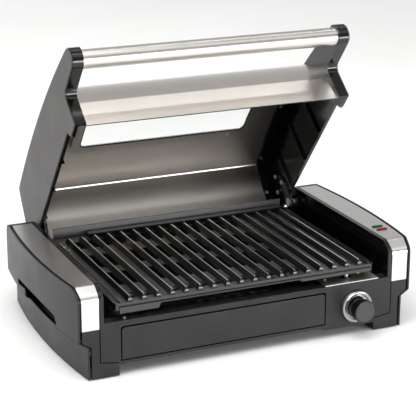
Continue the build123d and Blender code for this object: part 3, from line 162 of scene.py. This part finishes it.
def mouldedPlastic(name, spec):
    # slow drift of shade and gloss, and the mould's grain as a bump
    values = {"IOR": mould["ior"], "Specular IOR Level": spec.get("gloss", mould["gloss"])}
    material, tree, shader, place = startMaterial(name, values)
    drift = evenNoise(tree, place, mould["driftSize"], mould["driftDetail"])
    grain = evenNoise(tree, place, spec["grain"], mould["grainDetail"])
    tree.links.new(shades(tree, drift, spec["stops"]), shader.inputs["Base Color"])
    tree.links.new(spread(tree, drift, *spec["roughness"]), shader.inputs["Roughness"])
    tree.links.new(bumpNormal(tree, grain, spec["depth"]), shader.inputs["Normal"])
    return material


# for each metal its shades, its least and most roughness, the length of its streaks along x, y and z
# and their depth in millimetres, and the direction of its grooves
metalFinishes = {
    # stainless sheet brushed along x: its gloss spreads across the brushing, so light stands in bands;
    # a clear lacquer against fingerprints adds a second, sharper reflection
    "brushedStainless": dict(
        stops=((0.2, "#D6D0C9"), (0.8, "#E0DBD5")), roughness=(0.28, 0.30), streak=(90, 1.0, 1.0),
        depth=0, grooves=(1, 0, 0), anisotropy=0.5, lined=True, lacquer=0.7,
    ),
    # stainless strip of the trims, brushed from front to back and on down the front
    "trimStainless": dict(
        stops=((0.2, "#D2D0CD"), (0.8, "#DCDAD7")), roughness=(0.285, 0.30), streak=(1.0, 90, 90),
        depth=0, grooves=(0, 1, 0), anisotropy=0.1,
    ),
    # stainless tube of the handle, finely brushed along its length under the same lacquer
    "tubeStainless": dict(
        stops=((0.2, "#CDC8C2"), (0.8, "#DBD7D2")), roughness=(0.275, 0.285), streak=(60, 1.0, 1.0),
        depth=0.0004, grooves=(1, 0, 0), anisotropy=0.3, lacquer=0.7,
    ),
    # aluminised sheet of the guard: mid grey from the heat, with the spangle of the hot dip
    "aluminisedSheet": dict(
        stops=((0.2, "#5F5F5F"), (0.8, "#7E7E7E")), roughness=(0.50, 0.66), streak=(2, 2, 2),
        depth=0.004,
    ),
    # galvanised and rolled steel of brackets, pins, screws and rivets, with a faint mottle
    "rolledSteel": dict(
        stops=((0.2, "#C2C1BE"), (0.8, "#D8D6D2")), roughness=(0.38, 0.46), streak=(3, 3, 3),
        depth=0.002,
    ),
    # brass-washed rivets that hold the probe's bracket
    "brassWash": dict(
        stops=((0.2, "#A98F5C"), (0.8, "#C4AB76")), roughness=(0.24, 0.34), streak=(1, 1, 1),
        depth=0.002,
    ),
    # dark chrome plating of the knob's bezel and ring, a sharp mirror
    "chromePlate": dict(
        stops=((0.2, "#8E8E90"), (0.8, "#A8A8AA")), roughness=(0.06, 0.10), streak=(14, 14, 14),
        depth=0.0004,
    ),
    # heat-browned steel sheath of the heating element
    "oxidisedSteel": dict(
        stops=((0.2, "#1D1B1A"), (0.8, "#3A3430")), roughness=(0.36, 0.54), streak=(5, 5, 5),
        depth=0.006,
    ),
}

metalwork = dict(
    streakDetail=3.0, streakRoughness=0.6, cloudSize=70, cloudShare=0.6, lacquerRoughness=0.12,
)

hoodLining = dict(
    # the painted shade's colour, and how much of it the rear wall gets
    paintedShade="#3A3938", wallShade=0.66,
    # the painted shade on the folded front ends this far back, in millimetres, and fades over this much
    frontEdge=190, frontFade=8,
    # heights in millimetres at which the rear wall's painted shade begins and is full, and ends at its fold
    wallLow=92, wallHigh=110, foldHeight=124, foldFade=1,
    # top and fade of the wall's wiped foot in millimetres, and its roughness
    satinTop=104, satinFade=16, satin=0.46,
    # by how far a face looks up, from -1 to 1: where undersides end, and where upward slopes begin
    underside=(-0.4, -0.1), slope=(0.2, 0.5),
)


def liningShadeAndSatin(tree, place, clean, gloss, spec):
    # inside the hood, painted shade greys the underside of the folded front and the rear wall under its
    # fold, standing in for the dark plate and shade they reflect; and wiping has dulled the foot of that
    # wall to satin
    facing = addNode(tree, "ShaderNodeTexCoord").outputs["Normal"]
    upwards = addNode(tree, "ShaderNodeSeparateXYZ", links={"Vector": facing}).outputs["Z"]
    where = addNode(tree, "ShaderNodeSeparateXYZ", links={"Vector": place}).outputs
    edge, fold, top = (spec[key] * mm for key in ("frontEdge", "foldHeight", "satinTop"))
    ahead = spread(tree, where["Y"], 1, 0, edge - spec["frontFade"] * mm, edge)
    under = spread(tree, upwards, 1, 0, *spec["underside"])
    front = combine(tree, "MULTIPLY", ahead, under)
    rising = spread(tree, where["Z"], 0, spec["wallShade"], spec["wallLow"] * mm, spec["wallHigh"] * mm)
    below = spread(tree, where["Z"], 1, 0, fold - spec["foldFade"] * mm, fold)
    leaning = spread(tree, upwards, 0, 1, *spec["slope"])
    wall = combine(tree, "MULTIPLY", combine(tree, "MULTIPLY", rising, below), leaning)
    # painted shade: darker colour on the folded front's underside and the rear wall, standing in for
    # reflected dark
    shadedColour = mixColours(tree, combine(tree, "MAXIMUM", front, wall), clean, spec["paintedShade"])
    foot = spread(tree, where["Z"], 1, 0, top - spec["satinFade"] * mm, top)
    dulled = addNode(tree, "ShaderNodeMix", values={"B": spec["satin"]}, links={"Factor": foot, "A": gloss})
    return shadedColour, dulled.outputs["Result"]


def workedMetal(name, spec):
    # thin streaks along the brushing and wide clouds shade colour and gloss; a brushed metal's
    # highlight is drawn out across its grooves, along the cross product of normal and grooves
    values = {
        "Metallic": 1.0, "Anisotropic": spec.get("anisotropy", 0.0),
        "Coat Weight": spec.get("lacquer", 0.0), "Coat Roughness": metalwork["lacquerRoughness"],
    }
    material, tree, shader, place = startMaterial(name, values)
    streaks = noiseField(
        tree, place, spec["streak"], metalwork["streakDetail"], metalwork["streakRoughness"],
    )
    clouds = evenNoise(tree, place, metalwork["cloudSize"])
    mixed = addNode(
        tree, "ShaderNodeMix", values={"Factor": metalwork["cloudShare"]}, links={"A": streaks, "B": clouds},
    ).outputs["Result"]
    colour = shades(tree, mixed, spec["stops"])
    gloss = spread(tree, mixed, *spec["roughness"])
    if spec.get("lined"):
        # the hood's lining gets painted shade and a satin foot
        colour, gloss = liningShadeAndSatin(tree, place, colour, gloss, hoodLining)
    tree.links.new(colour, shader.inputs["Base Color"])
    tree.links.new(gloss, shader.inputs["Roughness"])
    if spec["depth"]:
        tree.links.new(bumpNormal(tree, streaks, spec["depth"]), shader.inputs["Normal"])
    if "grooves" in spec:
        facing = addNode(tree, "ShaderNodeNewGeometry").outputs["Normal"]
        across = addNode(
            tree, "ShaderNodeVectorMath", settings={"operation": "CROSS_PRODUCT"},
            values={1: spec["grooves"]}, links={0: facing},
        )
        tree.links.new(across.outputs["Vector"], shader.inputs["Tangent"])
    return material


coating = dict(
    ior=1.50, roughness=(0.275, 0.28), clearWeight=0.9, clearRoughness=0.05, driftDetail=3.0,
    enamel=((0.25, "#040404"), (0.75, "#0B0B0C")), bare=((0.3, "#DDDCDA"), (0.7, "#F2F1EF")),
    # in millimetres: the pebble, the drift of the gloss, and the height of the ridges' crests with the
    # band under it where the painted highlight begins and the rim where it is full
    pebbleSize=1.6, pebbleDepth=0.0006, driftSize=30, crestHeight=86.2, crestBand=0.5, crestRim=0.1,
)


def nonStickCoating(spec):
    # black PTFE enamel over die-cast aluminium: satin with a faint pebble under a clear, glossy skin;
    # the ridges' crests carry a painted highlight in bright metal, standing in for the light they catch
    values = {
        "IOR": spec["ior"], "Coat Weight": spec["clearWeight"], "Coat Roughness": spec["clearRoughness"],
    }
    material, tree, shader, place = startMaterial("nonStickCoating", values)
    pebble = evenNoise(tree, place, spec["pebbleSize"])
    drift = evenNoise(tree, place, spec["driftSize"], spec["driftDetail"])
    height = addNode(tree, "ShaderNodeSeparateXYZ", links={"Vector": place}).outputs["Z"]
    top, band, rim = (spec[key] * mm for key in ("crestHeight", "crestBand", "crestRim"))
    # painted highlight: the crests turn to bright, metallic colour for the light they catch
    highlightMask = spread(tree, height, 0, 1, top - band, top - rim)
    enamel = shades(tree, pebble, spec["enamel"])
    bare = shades(tree, drift, spec["bare"])
    tree.links.new(mixColours(tree, highlightMask, enamel, bare), shader.inputs["Base Color"])
    tree.links.new(highlightMask, shader.inputs["Metallic"])
    tree.links.new(spread(tree, drift, *spec["roughness"]), shader.inputs["Roughness"])
    tree.links.new(bumpNormal(tree, pebble, spec["pebbleDepth"]), shader.inputs["Normal"])
    return material


glass = dict(ior=1.50, roughness=0.0, driftSize=60, stops=((0.3, "#FBFDFC"), (0.7, "#FEFFFF")))


def temperedGlass(spec):
    # soda-lime float glass: clear, with the faintest cool body
    values = {"IOR": spec["ior"], "Transmission Weight": 1.0, "Roughness": spec["roughness"]}
    material, tree, shader, place = startMaterial("temperedGlass", values)
    drift = evenNoise(tree, place, spec["driftSize"])
    tree.links.new(shades(tree, drift, spec["stops"]), shader.inputs["Base Color"])
    return material


lamps = dict(
    ior=1.58, gloss=0.05, roughness=0.35, tintSize=3, tintDetail=1.0,
    stops={
        "greenPolycarbonate": ((0.3, "#082D22"), (0.7, "#0E4A38")),
        "redPolycarbonate": ((0.3, "#5A0A09"), (0.7, "#7E1210")),
    },
)


def lampLens(name, spec):
    # tinted polycarbonate: deep colour under a satin face
    values = {"IOR": spec["ior"], "Specular IOR Level": spec["gloss"], "Roughness": spec["roughness"]}
    material, tree, shader, place = startMaterial(name, values)
    tint = evenNoise(tree, place, spec["tintSize"], spec["tintDetail"])
    tree.links.new(shades(tree, tint, spec["stops"][name]), shader.inputs["Base Color"])
    return material


finishes = {name: mouldedPlastic(name, spec) for name, spec in plasticFinishes.items()}
finishes.update({name: workedMetal(name, spec) for name, spec in metalFinishes.items()})
finishes["nonStickCoating"] = nonStickCoating(coating)
finishes["temperedGlass"] = temperedGlass(glass)
finishes.update({name: lampLens(name, lamps) for name in lamps["stops"]})
print("finishes made:", len(finishes))

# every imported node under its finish, with the radius of its moulded or folded edges in millimetres
nodeFinishes = {
    "charcoalAbs": dict(
        front_panel=0.6, tray_front=0.6, left_side_cover=0.8, right_side_cover=0.8, left_foot_skirt=0.8,
        right_foot_skirt=0.8, base_pan=0.4, rear_housing=0.8, drip_tray=0.5,
    ),
    "greyAbs": dict(left_lid_side_plate=0.7, right_lid_side_plate=0.7),
    "blackGlossAbs": dict(
        left_lid_end=0.6, right_lid_end=0.6, left_inner_wall=0.6, right_inner_wall=0.6, thermostat=0.4,
        probe_bush=0, lamp_holder=0.3, control_knob=0,
    ),
    "phenolicResin": dict(knob_cap=0),
    "siliconeRubber": dict(rubber_feet=0.5, cord_gland=0, window_seal=0.2),
    "blackEnamel": dict(liner=0.2, left_hinge_arm=0.3, right_hinge_arm=0.3, element_bars=0.2),
    "steatite": dict(element_ends=0.4, terminal_block=0.4),
    "brushedStainless": dict(lid_hood=0.2, window_frame=0.3),
    "tubeStainless": dict(handle_tube=0.3),
    "trimStainless": dict(left_trim=0.2, right_trim=0.2),
    "aluminisedSheet": dict(rear_guard=0.2),
    "rolledSteel": dict(
        probe_bracket=0.15, probe_sleeve=0.2, window_screws=0.3, hood_screws=0.3, case_screws=0.3,
        liner_screws=0.3, hinge_rivets=0, hinge_pins=0.3, heat_probe=0, thermostat_shaft=0.3,
        thermal_fuse=0.4,
    ),
    "brassWash": dict(bracket_rivets=0),
    "chromePlate": dict(knob_bezel=0, knob_ring=0),
    "oxidisedSteel": dict(heating_element=0),
    "nonStickCoating": dict(grill_plate=0),
    "temperedGlass": dict(window_glass=0),
    "greenPolycarbonate": dict(green_lens=0),
    "redPolycarbonate": dict(red_lens=0),
}

# one distance in millimetres, then angles in degrees, and the steps of a rounded edge
edges = dict(joinedWithin=0.002, flatWithin=0.15, roundedOver=38, sharpOver=28, steps=2)


def shadeByAngle(degrees):
    # geometry nodes: smooth faces everywhere, and sharp edges where two faces meet at more than the angle
    group = bpy.data.node_groups.new("shadeByAngle", "GeometryNodeTree")
    group.interface.new_socket("Geometry", in_out="INPUT", socket_type="NodeSocketGeometry")
    group.interface.new_socket("Geometry", in_out="OUTPUT", socket_type="NodeSocketGeometry")
    start = addNode(group, "NodeGroupInput")
    smooth = addNode(group, "GeometryNodeSetShadeSmooth", links={"Geometry": start.outputs[0]})
    angle = addNode(group, "GeometryNodeInputMeshEdgeAngle").outputs["Unsigned Angle"]
    steep = addNode(
        group, "FunctionNodeCompare", settings={"operation": "GREATER_THAN"},
        values={1: math.radians(degrees)}, links={0: angle},
    )
    sharp = addNode(
        group, "GeometryNodeSetShadeSmooth", settings={"domain": "EDGE"}, values={"Shade Smooth": False},
        links={"Geometry": smooth.outputs[0], "Selection": steep.outputs[0]},
    )
    addNode(group, "NodeGroupOutput", links={0: sharp.outputs[0]})
    return group


shading = shadeByAngle(edges["sharpOver"])


def finishNode(name, material, radius):
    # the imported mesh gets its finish; live modifiers join its triangles into flat faces, round its sharp
    # edges and let the large faces lead the shading
    node = nodes[name]
    node.data.materials.clear()
    node.data.materials.append(material)
    node.modifiers.new("joinedTriangles", "WELD").merge_threshold = edges["joinedWithin"] * mm
    if radius:
        flat = node.modifiers.new("flatFaces", "DECIMATE")
        flat.decimate_type = "DISSOLVE"
        flat.angle_limit = math.radians(edges["flatWithin"])
        edge = node.modifiers.new("edgeRadius", "BEVEL")
        edge.width = radius * mm
        edge.segments = edges["steps"]
        edge.limit_method = "ANGLE"
        edge.angle_limit = math.radians(edges["roundedOver"])
    node.modifiers.new("shadeByAngle", "NODES").node_group = shading
    lead = node.modifiers.new("largeFacesLead", "WEIGHTED_NORMAL")
    lead.mode = "FACE_AREA_WITH_ANGLE"
    lead.keep_sharp = True


for finishName, members in nodeFinishes.items():
    for name, radius in members.items():
        finishNode(name, finishes[finishName], radius)
leftOut = sorted(set(nodes) - {name for members in nodeFinishes.values() for name in members})
print("nodes finished, left out:", leftOut)

# camera fitted to the photograph; place and clipping in metres, angles in radians, lens and sensor in
# millimetres
view = dict(
    place=(-0.65596, -1.35696, 0.66146), turn=0.418508, tilt=0.316621, roll=0.0021365,
    lens=128.282, sensorWidth=36, clipStart=0.05, clipEnd=60,
)


def aimCamera(spec):
    # looks along the turned and tilted line, with its own right and up rolled a little about it
    turn, tilt, roll = spec["turn"], spec["tilt"], spec["roll"]
    ahead = Vector((math.sin(turn) * math.cos(tilt), math.cos(turn) * math.cos(tilt), -math.sin(tilt)))
    level = ahead.cross(Vector((0, 0, 1))).normalized()
    upright = level.cross(ahead)
    right = level * math.cos(roll) + upright * math.sin(roll)
    up = upright * math.cos(roll) - level * math.sin(roll)
    data = bpy.data.cameras.new("grillCamera")
    data.lens = spec["lens"]
    data.sensor_width = spec["sensorWidth"]
    data.clip_start = spec["clipStart"]
    data.clip_end = spec["clipEnd"]
    camera = addObject("grillCamera", data)
    turned = Matrix((right, up, -ahead)).transposed().to_4x4()
    camera.matrix_world = Matrix.Translation(spec["place"]) @ turned
    bpy.context.scene.camera = camera


# side in metres, and the size of the clouds in its white in millimetres
paper = dict(
    side=14.0, cloudSize=400, roughness=0.9, gloss=0.1, stops=((0.3, "#F2F2F1"), (0.7, "#F6F6F5")),
)


def paleFloor(spec):
    # one level sheet of matt white paper, large enough to fill the view
    half = spec["side"] / 2
    corners = [(-half, -half, 0), (half, -half, 0), (half, half, 0), (-half, half, 0)]
    mesh = bpy.data.meshes.new("paperFloor")
    mesh.from_pydata(corners, [], [(0, 1, 2, 3)])
    floor = addObject("paperFloor", mesh)
    values = {"Roughness": spec["roughness"], "Specular IOR Level": spec["gloss"]}
    material, tree, shader, place = startMaterial("mattPaper", values)
    clouds = evenNoise(tree, place, spec["cloudSize"])
    tree.links.new(shades(tree, clouds, spec["stops"]), shader.inputs["Base Color"])
    mesh.materials.append(material)


softboxes = {
    # place, point aimed at, width and height in metres, power in watts
    "keyOverhead": dict(place=(-0.6, -0.5, 2.4), aim=(0, 0.1, 0.1), size=(2.2, 2.2), power=47),
    "leftPanel": dict(place=(-2.2, -0.6, 1.0), aim=(0, 0.1, 0.15), size=(1.4, 1.8), power=14),
    "rightPanel": dict(place=(2.3, -0.9, 1.1), aim=(0, 0.1, 0.15), size=(1.4, 1.8), power=14),
    "farFloor": dict(place=(-0.9, 2.4, 2.2), aim=(0.9, 2.2, 0), size=(1.2, 1.2), power=19),
    "foldStrip": dict(place=(0.7, 0.5, 2.1), aim=(0.7, 0.1, 0.25), size=(2.6, 0.05), power=5),
    "lowFront": dict(place=(0.62, -1.35, 0.17), aim=(0.05, 0.27, 0.09), size=(1.4, 0.30), power=20),
}


def placeSoftbox(name, spec):
    # a lit rectangle that faces the point it is aimed at, its height upright
    data = bpy.data.lights.new(name, "AREA")
    data.shape = "RECTANGLE"
    data.size, data.size_y = spec["size"]
    data.energy = spec["power"]
    light = addObject(name, data)
    aim = Vector(spec["aim"]) - Vector(spec["place"])
    turned = aim.to_track_quat("-Z", "Y").to_matrix().to_4x4()
    light.matrix_world = Matrix.Translation(spec["place"]) @ turned


room = dict(
    strength=2.2,
    # shades by the height of the direction, 0 level and 1 straight up
    front=(
        (0.0, "#868686"), (0.18, "#727272"), (0.30, "#4E4E4E"), (0.56, "#484848"), (0.68, "#C8C8C8"),
        (0.78, "#C8C8C8"), (0.86, "#747474"), (1.0, "#747474"),
    ),
    back=(
        (0.0, "#E0E0E0"), (0.10, "#A6A6A6"), (0.22, "#949494"), (0.45, "#848484"), (0.70, "#767676"),
        (1.0, "#747474"),
    ),
    # the front shades give way to the back ones as a direction turns backwards, from -1 to 1
    givesWay=(-0.15, 0.25),
)


def paleRoom(spec):
    # the tent round the table: in front grey cloth with a lit band high up, behind pale cloth that
    # darkens upwards
    world = bpy.data.worlds.new("paleRoom")
    bpy.context.scene.world = world
    world.use_nodes = True
    tree = world.node_tree
    place = addNode(tree, "ShaderNodeTexCoord").outputs["Generated"]
    parts = addNode(tree, "ShaderNodeSeparateXYZ", links={"Vector": place}).outputs
    behind = spread(tree, parts["Y"], 0, 1, *spec["givesWay"])
    front, back = (shades(tree, parts["Z"], spec[side]) for side in ("front", "back"))
    background = tree.nodes["Background"].inputs
    tree.links.new(mixColours(tree, behind, front, back), background["Color"])
    background["Strength"].default_value = spec["strength"]


aimCamera(view)
paleFloor(paper)
for name, spec in softboxes.items():
    placeSoftbox(name, spec)
paleRoom(room)
bpy.context.scene.view_settings.view_transform = "Standard"
print("studio placed")
